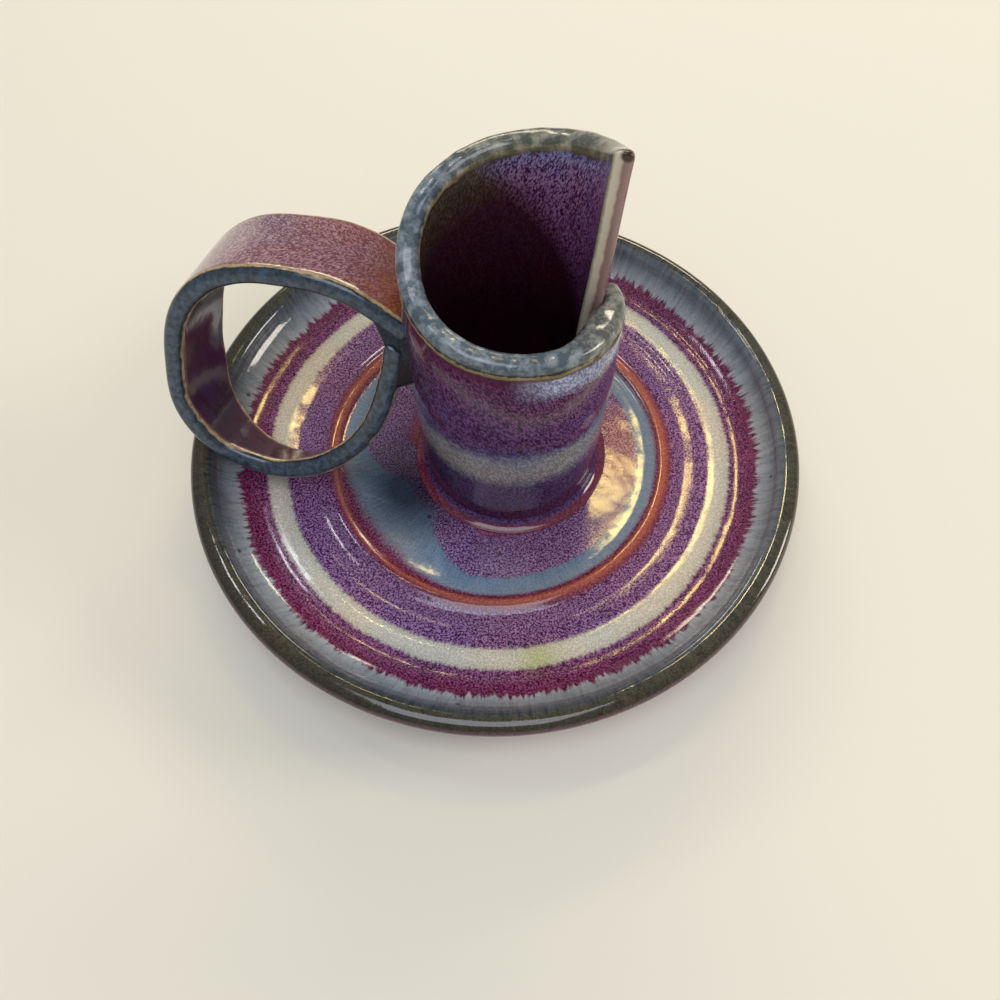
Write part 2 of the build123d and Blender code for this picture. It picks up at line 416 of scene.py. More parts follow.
def loop_point(reach_share, height_share):
    """Point of the strap's near edge, from its shares of the reach and the height."""
    outwards = tower_radius + reach_share * loop_reach
    upwards = near_bottom + height_share * loop_height
    return near_face + reach_direction * outwards + upright * upwards


# The lower end stops square to the underside of the upper end, a clearance below it.
near_points = [loop_point(*shares) for shares in loop_shares]
root = near_points[0]
root_run = (near_points[1] - root).normalized()
root_rise = across.cross(root_run)
near_points.append(root - root_rise * (0.5 * strap_thickness + end_clearance))
near_edge = smooth_curve(near_points, root_run, root_rise, 24)
near_lengths = [0.0]
for start, end in zip(near_edge, near_edge[1:]):
    near_lengths.append(near_lengths[-1] + (end - start).length)
loop_length = near_lengths[-1]


@lru_cache(maxsize=None)
def strap_station(u):
    """Origin, directions and sizes of the strap's section at a share of its length."""
    length = u * loop_length
    row = next(i for i in range(len(near_lengths) - 1) if length <= near_lengths[i + 1] + 1e-6)
    part = (length - near_lengths[row]) / (near_lengths[row + 1] - near_lengths[row])
    origin = near_edge[row].lerp(near_edge[row + 1], part)
    before = near_edge[max(0, row - 3)]
    after = near_edge[min(len(near_edge) - 1, row + 4)]
    run = (after - before).normalized()
    outward = across.cross(run).normalized()
    twist = radians(loop_twist) * along(twist_shares, u)
    wide = across * cos(twist) + outward * sin(twist)
    thick = outward * cos(twist) - across * sin(twist)
    width = strap_width * along(width_shares, u) * (1 + 0.02 * noise.noise(origin / 12.0))
    return origin, wide, thick, width, length


section_counts = (5, 6, 26, 6, 5, 5, 6, 26, 6, 5)
section_rows = sum(section_counts)


def strap_outline(width, thickness, row):
    """Across, thickness place and distance from the edge of a row of the strap's rounded section."""
    r = strap_edge_radius
    w, t = width, 0.5 * thickness
    runs = (
        ((0, 0), (0, t - r)), ("arc", (r, t - r), pi), ((r, t), (w - r, t)),
        ("arc", (w - r, t - r), 0.5 * pi), ((w, t - r), (w, 0)), ((w, 0), (w, r - t)),
        ("arc", (w - r, r - t), 0.0), ((w - r, -t), (r, -t)), ("arc", (r, r - t), -0.5 * pi),
        ((0, r - t), (0, 0)),
    )
    for run, count in zip(runs, section_counts):
        if row < count:
            break
        row -= count
    part = row / count
    if run[0] == "arc":
        angle = run[2] - 0.5 * pi * part
        x, y = run[1][0] + r * cos(angle), run[1][1] + r * sin(angle)
    else:
        (ax, ay), (bx, by) = run
        x, y = ax + (bx - ax) * part, ay + (by - ay) * part
    return x, y, min(x, w - x)


def place_strap(u, v):
    """Point of the strap: u runs along it, v round its section."""
    origin, wide, thick, width, length = strap_station(round(u, 6))
    row = round(v * section_rows) % section_rows
    x, y, edge = strap_outline(width, strap_thickness, row)
    point = origin + wide * x + thick * y
    point += thick * waver(point, *strap_waver)
    face = max(-1.0, min(1.0, 2 * y / strap_thickness))
    return point, (length, edge, face)


def make_finger_loop(material):
    """Finger loop: the pulled strap, from under the lip, round and back up the tower's wall."""
    bm = moulded(strap_columns, section_rows, place_strap)
    bmesh.ops.remove_doubles(bm, verts=bm.verts, dist=0.001)
    open_edges = [edge for edge in bm.edges if edge.is_boundary]
    bmesh.ops.holes_fill(bm, edges=open_edges, sides=section_rows + 4)
    return finished(bm, "strap_loop", material, "finger_loop")


def place_along(share):
    """Outwards and upwards place of the strap's near edge at a share of its length, in the loop's plane."""
    place = strap_station(share)[0] - near_face
    return Vector((place.dot(reach_direction), place.dot(upright)))


def make_luting(material):
    """Clay pressed between the strap's two ends and the tower's wall, which closes the ring."""
    under_root, over_foot, foot = [place_along(share) for share in luting_shares]
    root_place = place_along(0.0)
    inner_wall = tower_radius - tower_wall
    hollow = over_foot.lerp(under_root, 0.5) + luting_sag
    outline = [over_foot, hollow, under_root, root_place, Vector((inner_wall, root_place.y)),
               Vector((inner_wall, over_foot.y)), foot]
    length = strap_width * width_shares[-1][1]
    bm = bmesh.new()
    layer = bm.verts.layers.float_vector.new("layout")
    bmesh.ops.create_circle(bm, cap_ends=True, segments=len(outline), radius=1.0)
    bm.verts.ensure_lookup_table()
    for vert, (outwards, upwards) in zip(bm.verts, outline):
        vert.co = near_face + reach_direction * outwards + upright * upwards + across * luting_inset
    grown = bmesh.ops.extrude_face_region(bm, geom=bm.faces[:])["geom"]
    moved = [item for item in grown if isinstance(item, bmesh.types.BMVert)]
    bmesh.ops.translate(bm, vec=across * (length - 2 * luting_inset), verts=moved)
    bmesh.ops.bevel(
        bm, geom=bm.edges[:], offset=luting_rounding, segments=5, profile=0.5, affect="EDGES", material=-1,
    )
    for vert in bm.verts:
        vert[layer] = (0.0, (vert.co - near_face).dot(upright) - over_foot.y, 0.0)
    return finished(bm, "loop_luting_roll", material, "loop_luting")


# Materials

# Patterns on the glaze, in millimetres. The crystals are as coarse as they need to be to show in a render.
# The finest real ones are smaller.
ceramic_ior = 1.52
crystal_grain = 0.36
strap_grain = 0.42
joint_grain = 0.50
crystal_height = 0.01
wave_height = 0.3
rings_centre = (0.7, 0.0, 0.0)
teeth_round = 60            # waves of the teeth's noise in a radian of a ring
teeth_draw = 0.28           # its waves in a millimetre outwards: fewer, which draws the teeth out
loop_side_turn = -145       # direction in which the rings ran in under the loop, in degrees
foot_red_turn = 4           # direction of the red patch at the foot, in degrees
green_spot = (8.0, -48.6, dish_floor)
# Centre of the painted shadow of the loop and the tower on the dish
painted_shadow_centre = (-18.5, -9.0, dish_floor)
tip = place_wall(0.985, 0.46)[0]            # the top of the strip's pointed end


def linear(code):
    """An sRGB hex colour as linear red, green, blue and alpha."""
    channels = [int(code[i:i + 2], 16) / 255 for i in (1, 3, 5)]
    return [c / 12.92 if c <= 0.04045 else ((c + 0.055) / 1.055) ** 2.4 for c in channels] + [1.0]


def add_node(tree, kind, inputs=None, stops=None, output=None, **settings):
    """Adds a shader node with its settings, its ramp's stops, and a value or a link for each input. Gives the
    output that is named, or the node's first one that is in use."""
    node = tree.nodes.new("ShaderNode" + kind)
    for name, value in settings.items():
        setattr(node, name, value)
    for name, value in (inputs or {}).items():
        if isinstance(value, bpy.types.NodeSocket):
            tree.links.new(value, node.inputs[name])
        else:
            node.inputs[name].default_value = value
    if stops:
        elements = node.color_ramp.elements
        while len(elements) < len(stops):
            elements.new(1.0)
        for element, (position, colour) in zip(elements, stops):
            element.position = position
            element.color = linear(colour) if isinstance(colour, str) else (colour, colour, colour, 1.0)
    if output:
        return node.outputs[output]
    return next(socket for socket in node.outputs if socket.enabled)


def glaze(name, roughness):
    """A glossy ceramic material: itself, its tree, its surface shader, each point's place in millimetres, and
    the three parts of its layout."""
    material = bpy.data.materials.new(name)
    material.use_nodes = True
    tree = material.node_tree
    surface = tree.nodes["Principled BSDF"]
    surface.inputs["IOR"].default_value = ceramic_ior
    surface.inputs["Roughness"].default_value = roughness
    place = add_node(tree, "TexCoord", output="Object")
    mm = add_node(tree, "VectorMath", {0: place, "Scale": 1 / MM}, operation="SCALE")
    layout = add_node(tree, "Attribute", output="Vector", attribute_name="layout")
    return material, tree, surface, mm, add_node(tree, "SeparateXYZ", {0: layout}).node.outputs


def crystal_mask(tree, place, grain):
    """Fine floating crystals of a reactive glaze: 1 on a crystal, 0 on the ground between them."""
    fine = add_node(tree, "TexNoise", {
        "Vector": place, "Scale": 1 / grain, "Detail": 2.0, "Roughness": 0.5, "Distortion": 0.4,
    })
    return add_node(tree, "MapRange", {"Value": fine, "From Min": 0.42, "From Max": 0.62})


def two_tone(tree, zone, mask, grounds, crystals):
    """The glaze's colour: ground and crystals both change with the zone, and the mask mixes them."""
    ground = add_node(tree, "ValToRGB", {"Fac": zone}, stops=grounds)
    crystal = add_node(tree, "ValToRGB", {"Fac": zone}, stops=crystals)
    return add_node(tree, "Mix", {0: mask, 6: ground, 7: crystal}, data_type="RGBA")


def tinted(tree, colour, mm, size, cool, warm):
    """The colour with slow drifts, about as wide as the size, between a cool and a warm tint."""
    drift = add_node(tree, "TexNoise", {"Vector": mm, "Scale": 1 / size, "Detail": 2.0})
    tint = add_node(tree, "ValToRGB", {"Fac": drift}, stops=((0.38, cool), (0.62, warm)))
    return add_node(tree, "Mix", {0: 1.0, 6: colour, 7: tint}, data_type="RGBA", blend_type="MULTIPLY")


def glaze_surface(tree, surface, colour, mm, mask, bumps):
    """Joins the colour and the two reliefs of a poured glaze, slow waves and crystals, to the surface."""
    tree.links.new(colour, surface.inputs["Base Color"])
    ripple = add_node(tree, "TexNoise", {"Vector": mm, "Scale": 0.28, "Detail": 1.0})
    waves = add_node(tree, "Bump", {"Height": ripple, "Strength": 0.14, "Distance": wave_height * MM})
    relief = add_node(tree, "Bump", {
        "Height": mask, "Strength": bumps, "Distance": crystal_height * MM, "Normal": waves,
    })
    tree.links.new(relief, surface.inputs["Normal"])


def saucer_material():
    """Reactive glaze on thrown stoneware: rings of plum, cream and blue that ran into each other when molten,
    a glassy olive lip, and bare buff clay on the foot."""
    material, tree, surface, mm, layout = glaze("reactive_glaze_on_saucer", 0.09)
    centred = add_node(tree, "VectorMath", {0: mm, 1: rings_centre}, operation="SUBTRACT")
    flat = add_node(tree, "VectorMath", {0: centred, 1: (1, 1, 0)}, operation="MULTIPLY")
    radius = add_node(tree, "VectorMath", {0: flat}, operation="LENGTH")
    turn = add_node(tree, "VectorMath", {0: flat}, operation="NORMALIZE")
    # A stop stands at a hundredth of its radius. The edges between the rings run outwards in teeth.
    radius_place = add_node(tree, "Math", {0: radius, 1: 0.01}, operation="MULTIPLY")
    stretched = add_node(tree, "CombineXYZ", {
        "Z": add_node(tree, "Math", {0: radius, 1: teeth_draw}, operation="MULTIPLY"),
    })
    runs = add_node(tree, "VectorMath", {
        0: turn, 1: (teeth_round, teeth_round, teeth_round), 2: stretched,
    }, operation="MULTIPLY_ADD")
    teeth = add_node(tree, "TexNoise", {"Vector": runs, "Scale": 1.0, "Detail": 4.0, "Roughness": 0.68})
    swing = add_node(tree, "TexNoise", {"Vector": turn, "Scale": 2.6, "Detail": 2.0})
    reach = add_node(tree, "ValToRGB", {"Fac": radius_place}, stops=(
        (0.21, 0.010), (0.27, 0.022), (0.30, 0.020), (0.335, 0.008), (0.36, 0.004), (0.40, 0.012),
        (0.45, 0.018), (0.51, 0.020), (0.535, 0.045), (0.570, 0.055), (0.60, 0.02), (0.62, 0.006),
    ))
    both = add_node(tree, "Math", {0: swing, 1: 0.45, 2: teeth}, operation="MULTIPLY_ADD")
    centre_both = add_node(tree, "Math", {0: both, 1: 0.725}, operation="SUBTRACT")
    toothed = add_node(tree, "Math", {0: centre_both, 1: reach, 2: radius_place}, operation="MULTIPLY_ADD")
    # Under the loop the rings ran in towards the tower, which leaves the blue pool wider there.
    loop_side = add_node(tree, "VectorMath", {
        0: turn, 1: (cos(radians(loop_side_turn)), sin(radians(loop_side_turn)), 0),
    }, operation="DOT_PRODUCT")
    run_in = add_node(tree, "MapRange", {"Value": loop_side, "From Min": 0.72, "From Max": 0.97})
    pull = add_node(tree, "ValToRGB", {"Fac": radius_place}, stops=(
        (0.19, 0.110), (0.225, 0.085), (0.315, 0.028), (0.352, 0.0), (0.366, 0.014), (0.40, 0.004),
        (0.44, 0.0),
    ))
    zone = add_node(tree, "Math", {0: run_in, 1: pull, 2: toothed}, operation="MULTIPLY_ADD")
    fine = crystal_mask(tree, centred, crystal_grain)
    streak = add_node(tree, "MapRange", {"Value": teeth, "From Min": 0.35, "From Max": 0.68})
    streaky = add_node(tree, "ValToRGB", {"Fac": zone}, stops=(
        (0.303, 0.0), (0.308, 0.5), (0.340, 0.5), (0.345, 0.0), (0.550, 0.0), (0.564, 0.8), (0.612, 0.8),
        (0.625, 0.45),
    ))
    mask = add_node(tree, "Mix", {0: streaky, 2: fine, 3: streak}, data_type="FLOAT")
    glazed = two_tone(tree, zone, mask, (
        (0.195, "#6b1c34"), (0.207, "#4f1840"), (0.222, "#3e1442"), (0.302, "#441647"), (0.307, "#586f80"),
        (0.325, "#617888"), (0.342, "#73838f"), (0.346, "#4e1438"), (0.3505, "#541630"), (0.354, "#7c332b"),
        (0.359, "#a05040"), (0.366, "#98493c"), (0.372, "#7a3033"), (0.378, "#5c1c34"), (0.385, "#421438"),
        (0.459, "#431443"), (0.464, "#b9b69c"), (0.482, "#c5c2a9"), (0.502, "#b6b39a"), (0.507, "#3f0f38"),
        (0.530, "#410c2e"), (0.560, "#4c0a2a"), (0.565, "#7f898a"), (0.585, "#647072"), (0.604, "#404a50"),
        (0.613, "#20292f"), (0.620, "#2e2f24"), (0.655, "#1d1b14"),
    ), (
        (0.195, "#93495c"), (0.207, "#8a5a80"), (0.222, "#95789f"), (0.302, "#a386aa"), (0.307, "#7a93a3"),
        (0.325, "#869caa"), (0.342, "#98a3a6"), (0.346, "#9a5c80"), (0.3505, "#8a4658"), (0.354, "#9c5744"),
        (0.359, "#bd7660"), (0.366, "#b46a54"), (0.372, "#96504e"), (0.378, "#90556c"), (0.385, "#a67ba6"),
        (0.459, "#b48ab4"), (0.464, "#dedcc4"), (0.482, "#e6e4ce"), (0.502, "#dad8c0"), (0.507, "#a56a98"),
        (0.530, "#9e5880"), (0.560, "#8c4064"), (0.565, "#bcc3c0"), (0.585, "#a4adae"), (0.604, "#7d8586"),
        (0.613, "#5b6464"), (0.620, "#5c5a44"), (0.655, "#43392a"),
    ))
    # On the tower's right the glaze broke pink and red round the foot.
    foot_side = add_node(tree, "VectorMath", {
        0: turn, 1: (cos(radians(foot_red_turn)), sin(radians(foot_red_turn)), 0),
    }, operation="DOT_PRODUCT")
    foot_share = add_node(tree, "MapRange", {"Value": foot_side, "From Min": 0.88, "From Max": 0.98})
    foot_ring = add_node(tree, "ValToRGB", {"Fac": zone}, stops=(
        (0.225, 0.0), (0.245, 0.6), (0.290, 0.6), (0.304, 0.0),
    ))
    foot_red = add_node(tree, "Math", {0: foot_share, 1: foot_ring}, operation="MULTIPLY")
    red = add_node(tree, "Mix", {0: fine, 6: linear("#7c2236"), 7: linear("#b8707c")}, data_type="RGBA")
    reddened = add_node(tree, "Mix", {0: foot_red, 6: glazed, 7: red}, data_type="RGBA")
    # A green spot in the cream ring, where some copper ran.
    spot = add_node(tree, "VectorMath", {0: centred, 1: green_spot}, operation="DISTANCE")
    spot_share = add_node(tree, "MapRange", {
        "Value": spot, "From Min": 1.0, "From Max": 6.0, "To Min": 0.8, "To Max": 0.0,
    })
    greened = add_node(tree, "Mix", {
        0: spot_share, 6: reddened, 7: linear("#dcf0b0"),
    }, data_type="RGBA", blend_type="MULTIPLY")
    # Between the loop and the tower the dish is darkened towards a dark grey: a painted shadow of the loop
    # and the tower.
    shadow_distance = add_node(tree, "VectorMath", {0: mm, 1: painted_shadow_centre}, operation="DISTANCE")
    painted_shadow_share = add_node(tree, "MapRange", {
        "Value": shadow_distance, "From Min": 4.0, "From Max": 16.0, "To Min": 0.85, "To Max": 0.0,
    })
    shadow_painted = add_node(tree, "Mix", {
        0: painted_shadow_share, 6: greened, 7: linear("#403a44"),
    }, data_type="RGBA", blend_type="MULTIPLY")
    colour = tinted(tree, shadow_painted, mm, 26.0, "#eceeff", "#fff3f6")
    # Brown blots on the lip, and a few dark pits.
    blots = add_node(tree, "TexNoise", {"Vector": mm, "Scale": 0.55, "Detail": 3.0, "Roughness": 0.6})
    blotted = add_node(tree, "MapRange", {"Value": blots, "From Min": 0.60, "From Max": 0.68, "To Max": 0.75})
    rim_share = add_node(tree, "ValToRGB", {"Fac": zone}, stops=((0.612, 0.0), (0.622, 1.0)))
    flecked = add_node(tree, "Math", {0: blotted, 1: rim_share}, operation="MULTIPLY")
    lipped = add_node(tree, "Mix", {0: flecked, 6: colour, 7: linear("#2e1a0e")}, data_type="RGBA")
    pits = add_node(tree, "TexVoronoi", {"Vector": mm, "Scale": 0.10, "Randomness": 1.0})
    pitted = add_node(tree, "MapRange", {
        "Value": pits, "From Min": 0.035, "From Max": 0.065, "To Min": 0.8, "To Max": 0.0,
    })
    spotted = add_node(tree, "Mix", {0: pitted, 6: lipped, 7: linear("#2a2c33")}, data_type="RGBA")
    under_lip = add_node(tree, "MapRange", {"Value": layout["X"], "From Min": 2.8, "From Max": 3.6})
    wall = add_node(tree, "Mix", {0: fine, 6: linear("#4a1228"), 7: linear("#7a4660")}, data_type="RGBA")
    walled = add_node(tree, "Mix", {0: under_lip, 6: spotted, 7: wall}, data_type="RGBA")
    # The glaze stops just above the table.
    edge = add_node(tree, "Math", {0: teeth, 1: 3.0, 2: layout["Y"]}, operation="MULTIPLY_ADD")
    bare = add_node(tree, "MapRange", {
        "Value": edge, "From Min": 2.6, "From Max": 2.9, "To Min": 1.0, "To Max": 0.0,
    })
    buff = add_node(tree, "Mix", {0: fine, 6: linear("#a58a6c"), 7: linear("#bda486")}, data_type="RGBA")
    clay = tinted(tree, buff, mm, 9.0, "#f0e6dc", "#fff2e4")
    final = add_node(tree, "Mix", {0: bare, 6: walled, 7: clay}, data_type="RGBA")
    gloss = add_node(tree, "MapRange", {"Value": mask, "To Min": 0.045, "To Max": 0.085})
    rough = add_node(tree, "Mix", {0: bare, 2: gloss, 3: 0.8}, data_type="FLOAT")
    tree.links.new(rough, surface.inputs["Roughness"])
    glaze_surface(tree, surface, final, mm, mask, 0.35)
    return material


def drawn_places(tree, layout, lean, run):
    """Places for crystals that were drawn out along a rolled or pulled strip."""
    leant = add_node(tree, "Math", {0: layout["Y"], 1: lean, 2: layout["X"]}, operation="MULTIPLY_ADD")
    return add_node(tree, "CombineXYZ", {
        "X": leant,
        "Y": add_node(tree, "Math", {0: layout["Y"], 1: run}, operation="MULTIPLY"),
        "Z": add_node(tree, "Math", {0: layout["Z"], 1: 7.0}, operation="MULTIPLY"),
    })


def tower_material():
    """Reactive glaze on the rolled tower: a slate lip with tan edges, plum below it, and a cream band."""
    material, tree, surface, mm, layout = glaze("reactive_glaze_on_tower", 0.06)
    drawn = drawn_places(tree, layout, 0.30, 0.55)
    fine = crystal_mask(tree, drawn, crystal_grain)
    teeth = add_node(tree, "TexNoise", {"Vector": drawn, "Scale": 0.9, "Detail": 3.0, "Roughness": 0.62})
    jag = add_node(tree, "Math", {0: teeth, 1: 0.5}, operation="SUBTRACT")
    height = add_node(tree, "SeparateXYZ", {0: mm}, output="Z")
    height_place = add_node(tree, "Math", {0: height, 1: 0.01}, operation="MULTIPLY")
    level = add_node(tree, "Math", {0: jag, 1: 0.05, 2: height_place}, operation="MULTIPLY_ADD")
    outside_colour = two_tone(tree, level, fine, (
        (0.09, "#621930"), (0.125, "#300d32"), (0.255, "#2e0f34"), (0.275, "#5c6165"), (0.30, "#80847d"),
        (0.355, "#7c817d"), (0.385, "#331740"), (0.50, "#300c33"), (0.60, "#3b0e32"), (0.95, "#3d0d2e"),
    ), (
        (0.09, "#8c4258"), (0.125, "#5c4070"), (0.255, "#6a5486"), (0.275, "#979b9e"), (0.30, "#b9bbb2"),
        (0.355, "#b1b5b0"), (0.385, "#77629a"), (0.50, "#86608e"), (0.60, "#8a5680"), (0.95, "#80486f"),
    ))
    depth = add_node(tree, "Math", {0: jag, 1: 5.0, 2: layout["Y"]}, operation="MULTIPLY_ADD")
    depth_place = add_node(tree, "Math", {0: depth, 1: 0.01}, operation="MULTIPLY")
    # The bore's lit side, darkening with depth below the lip: painted shade deep in the bore.
    lit_bore_colour = two_tone(tree, depth_place, fine, (
        (0.02, "#5c4470"), (0.06, "#5a2258"), (0.20, "#571546"), (0.40, "#330c2c"), (0.60, "#12060f"),
    ), (
        (0.02, "#b4c2ec"), (0.06, "#c2b0d8"), (0.12, "#be94c2"), (0.24, "#b27cb0"), (0.40, "#5c2f58"),
        (0.60, "#1a0814"),
    ))
    # The bore is painted lit on the flap's side, where the crystals show, less far round the deeper they lie.
    # It is painted in shade on the other side, dark and brown. Both sides darken with depth below the lip:
    # painted shade deep in the bore.
    turned = add_node(tree, "Math", {0: layout["Y"], 1: -0.9, 2: layout["X"]}, operation="MULTIPLY_ADD")
    lit_side_share = add_node(tree, "MapRange", {"Value": turned, "From Min": 87.0, "From Max": 95.0})
    shaded_bore_colour = two_tone(tree, depth_place, fine, (
        (0.02, "#5c5640"), (0.06, "#50402f"), (0.13, "#45222c"), (0.30, "#381522"), (0.45, "#210b13"),
        (0.60, "#0c0407"),
    ), (
        (0.02, "#8a8468"), (0.06, "#7b6c55"), (0.13, "#62384a"), (0.30, "#4c2434"), (0.45, "#2a111b"),
        (0.60, "#140a0e"),
    ))
    inner = add_node(tree, "Mix", {0: lit_side_share, 6: shaded_bore_colour, 7: lit_bore_colour}, data_type="RGBA")
    outer_side = add_node(tree, "MapRange", {"Value": layout["Z"], "From Min": -0.2, "From Max": 0.2})
    body = add_node(tree, "Mix", {0: outer_side, 6: inner, 7: outside_colour}, data_type="RGBA")
    tint = tinted(tree, body, mm, 15.0, "#dcdaf0", "#f2e2e6")
    # Under the lip the glaze ran wine red, with one patch of blue runs beside the strip's low end.
    below_lip = add_node(tree, "Math", {0: jag, 1: 3.5, 2: layout["Y"]}, operation="MULTIPLY_ADD")
    wine = add_node(tree, "MapRange", {
        "Value": below_lip, "From Min": 3.8, "From Max": 7.0, "To Min": 0.8, "To Max": 0.0,
    })
    wine_outside = add_node(tree, "Math", {0: wine, 1: outer_side}, operation="MULTIPLY")
    wined = add_node(tree, "Mix", {0: wine_outside, 6: tint, 7: linear("#54183a")}, data_type="RGBA")
    patch_start = add_node(tree, "MapRange", {"Value": layout["X"], "From Min": 7.0, "From Max": 12.0})
    patch_end = add_node(tree, "MapRange", {
        "Value": layout["X"], "From Min": 30.0, "From Max": 38.0, "To Min": 1.0, "To Max": 0.0,
    })
    patch_low = add_node(tree, "MapRange", {
        "Value": below_lip, "From Min": 7.0, "From Max": 10.0, "To Min": 0.95, "To Max": 0.0,
    })
    patch_wide = add_node(tree, "Math", {0: patch_start, 1: patch_end}, operation="MULTIPLY")
    patch_area = add_node(tree, "Math", {0: patch_wide, 1: patch_low}, operation="MULTIPLY")
    patch = add_node(tree, "Math", {0: patch_area, 1: outer_side}, operation="MULTIPLY")
    blue_runs = add_node(tree, "Mix", {0: fine, 6: linear("#7f86a6"), 7: linear("#c6cfe4")}, data_type="RGBA")
    patched = add_node(tree, "Mix", {0: patch, 6: wined, 7: blue_runs}, data_type="RGBA")
    # The lip: slate clouds, a tan line where the glaze broke over each of its edges, and a dark line outside.
    cloud = add_node(tree, "TexNoise", {"Vector": mm, "Scale": 0.42, "Detail": 4.0, "Roughness": 0.66})
    clouded = add_node(tree, "MapRange", {"Value": cloud, "From Min": 0.44, "From Max": 0.66})
    wander = add_node(tree, "Math", {0: cloud, 1: 0.5}, operation="SUBTRACT")
    lip_line = add_node(tree, "Math", {0: wander, 1: 2.0, 2: layout["Y"]}, operation="MULTIPLY_ADD")
    lip_place = add_node(tree, "Math", {0: lip_line, 1: 0.1}, operation="MULTIPLY")
    lip_outside = two_tone(tree, lip_place, clouded, (
        (0.00, "#4f5c66"), (0.17, "#38434a"), (0.215, "#20221d"), (0.235, "#7d6b4a"), (0.30, "#8a7551"),
        (0.325, "#3b2a22"), (0.37, "#4c1730"),
    ), (
        (0.00, "#99a4ab"), (0.17, "#808a8e"), (0.215, "#565a50"), (0.235, "#b3a07a"), (0.30, "#ad9870"),
        (0.325, "#5e4434"), (0.37, "#6a2744"),
    ))
    lip_inside = two_tone(tree, lip_place, clouded, (
        (0.00, "#4f5c66"), (0.09, "#454f54"), (0.115, "#7b7058"), (0.15, "#a5937a"), (0.20, "#93805f"),
        (0.235, "#3c1a20"), (0.30, "#2c0c1c"),
    ), (
        (0.00, "#99a4ab"), (0.09, "#8f989a"), (0.115, "#bdb298"), (0.15, "#c8b8a0"), (0.20, "#b09c7b"),
        (0.235, "#5a2a2c"), (0.30, "#4a1830"),
    ))
    lip = add_node(tree, "Mix", {0: outer_side, 6: lip_inside, 7: lip_outside}, data_type="RGBA")
    lip_end = add_node(tree, "Mix", {0: outer_side, 2: 2.6, 3: 3.5}, data_type="FLOAT")
    past_end = add_node(tree, "Math", {0: lip_line, 1: lip_end}, operation="SUBTRACT")
    on_lip = add_node(tree, "MapRange", {
        "Value": past_end, "From Min": -0.3, "From Max": 0.4, "To Min": 1.0, "To Max": 0.0,
    })
    # Towards the back and the tip the lip is olive, and at its low end olive and tan.
    olive_share = add_node(tree, "MapRange", {
        "Value": layout["X"], "From Min": 84.0, "From Max": 92.0, "To Max": 0.7,
    })
    low_share = add_node(tree, "MapRange", {
        "Value": layout["X"], "From Min": 20.0, "From Max": 28.0, "To Min": 0.6, "To Max": 0.0,
    })
    olive_amount = add_node(tree, "Math", {0: olive_share, 1: low_share}, operation="MAXIMUM")
    olive = add_node(tree, "Mix", {0: clouded, 6: linear("#5c5a48"), 7: linear("#a8a18a")}, data_type="RGBA")
    olive_lip = add_node(tree, "Mix", {0: olive_amount, 6: lip, 7: olive}, data_type="RGBA")
    lipped = add_node(tree, "Mix", {0: on_lip, 6: patched, 7: olive_lip}, data_type="RGBA")
    # The strip's cut end: cream on the bore's side, brown outside, and a brown bead at the tip.
    cut = add_node(tree, "MapRange", {
        "Value": layout["X"], "From Min": strip_length - 1.0, "From Max": strip_length - 0.75,
    })
    cut_side = add_node(tree, "Math", {0: wander, 1: 0.5, 2: layout["Z"]}, operation="MULTIPLY_ADD")
    cut_place = add_node(tree, "Math", {0: cut_side, 1: 0.5, 2: 0.5}, operation="MULTIPLY_ADD")
    cut_colour = add_node(tree, "ValToRGB", {"Fac": cut_place}, stops=(
        (0.05, "#958e76"), (0.18, "#d8cdb8"), (0.44, "#cfc0ac"), (0.58, "#927068"), (0.88, "#a08480"),
        (1.0, "#84404c"),
    ))
    capped = add_node(tree, "Mix", {0: cut, 6: lipped, 7: cut_colour}, data_type="RGBA")
    tip_near = add_node(tree, "VectorMath", {0: mm, 1: tuple(tip)}, operation="DISTANCE")
    bead = add_node(tree, "MapRange", {
        "Value": tip_near, "From Min": 0.9, "From Max": 1.4, "To Min": 1.0, "To Max": 0.0,
    })
    final = add_node(tree, "Mix", {0: bead, 6: capped, 7: linear("#3d2216")}, data_type="RGBA")
    glaze_surface(tree, surface, final, mm, fine, 0.30)
    return material


def joint_material(name, roughness, grounds, crystals):
    """The same glaze where it gathered in a joint. Its colours change with the height in the joint."""
    material, tree, surface, mm, layout = glaze(name, roughness)
    fine = crystal_mask(tree, mm, joint_grain)
    rise = add_node(tree, "Math", {0: layout["Y"], 1: 0.1}, operation="MULTIPLY")
    glaze_surface(tree, surface, two_tone(tree, rise, fine, grounds, crystals), mm, fine, 0.30)
    return material


def fillet_material():
    """Glaze that ran down into the foot's joint: plum crystals, and a thin wine-red line where it broke over
    the toe."""
    return joint_material("wine_glaze_on_fillet", 0.06, (
        (0.00, "#5c1f30"), (0.04, "#5a1a34"), (0.09, "#3a1838"), (0.26, "#33183c"),
    ), (
        (0.00, "#7d3c4c"), (0.04, "#6f2f4c"), (0.09, "#5c4478"), (0.26, "#5f5086"),
    ))


def shadow_luting_material():
    """Near-black plum in the narrow joint of the loop, slate towards its top: a painted shadow in the gap
    between the strap and the tower, dull.
    """
    material = joint_material("painted_shadow_in_joint", 0.30, (
        (0.00, "#170a14"), (0.30, "#1b0f18"), (0.55, "#1b2229"),
    ), (
        (0.00, "#26141f"), (0.30, "#2c1c28"), (0.55, "#313c46"),
    ))
    # Weak reflection, so that the painted shadow stays dark.
    material.node_tree.nodes["Principled BSDF"].inputs["Specular IOR Level"].default_value = 0.2
    return material


